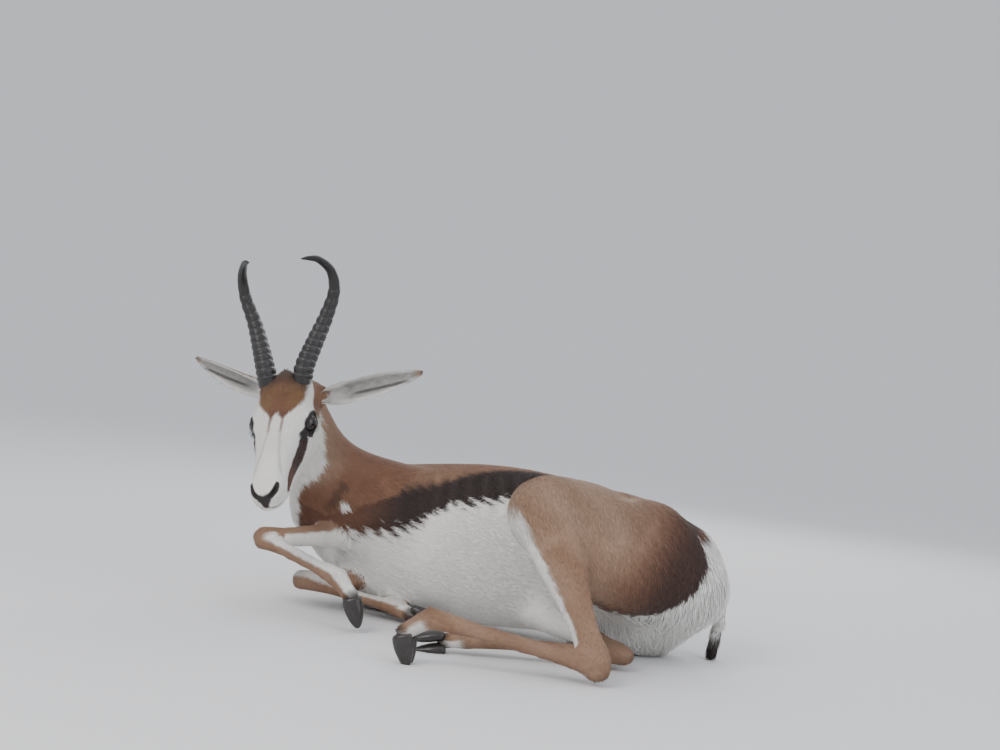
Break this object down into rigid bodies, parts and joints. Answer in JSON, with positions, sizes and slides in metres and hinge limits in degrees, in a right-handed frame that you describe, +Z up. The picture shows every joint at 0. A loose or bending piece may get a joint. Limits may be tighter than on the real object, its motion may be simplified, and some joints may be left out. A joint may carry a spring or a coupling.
{
  "type": "springbok figure",
  "caption": "Life-size springbok ram lying half on its right side, legs drawn up, head raised and turned out, with ringed horns, a dark flank band and a white belly.",
  "frame": {"origin": "middle of the whole figure's footprint, on the floor", "axes": "+X towards the rump, -X towards the head, -Y towards the side the legs and the face point to, +Z up"},
  "size_m": [0.9475, 0.632, 0.581],
  "materials": {
    "fawn_coat": "short matt fur, cinnamon fawn with a dark flank band and white underside",
    "white_coat": "longer matt white fur",
    "horn": "ringed black horn, satin",
    "hoof": "black hoof, satin",
    "eye": "wet, very dark brown"
  },
  "bodies": {
    "root": {"ear_left": "fawn_coat", "ear_right": "fawn_coat", "eye_left": "eye", "eye_right": "eye", "foreleg_left_cannon": "fawn_coat", "foreleg_left_claw_inner": "hoof", "foreleg_left_claw_outer": "hoof", "foreleg_left_forearm": "fawn_coat", "foreleg_right_cannon": "fawn_coat", "foreleg_right_claw_inner": "hoof", "foreleg_right_claw_outer": "hoof", "foreleg_right_forearm": "fawn_coat", "head": "fawn_coat", "hindleg_left_cannon": "fawn_coat", "hindleg_left_claw_inner": "hoof", "hindleg_left_claw_outer": "hoof", "hindleg_left_shank": "fawn_coat", "hindleg_left_thigh": "fawn_coat", "hindleg_right_cannon": "fawn_coat", "hindleg_right_claw_inner": "hoof", "hindleg_right_claw_outer": "hoof", "hindleg_right_shank": "fawn_coat", "horn_left": "horn", "horn_right": "horn", "neck": "fawn_coat", "rump": "white_coat", "tail": "white_coat", "torso": "fawn_coat"}
  },
  "joints": []
}
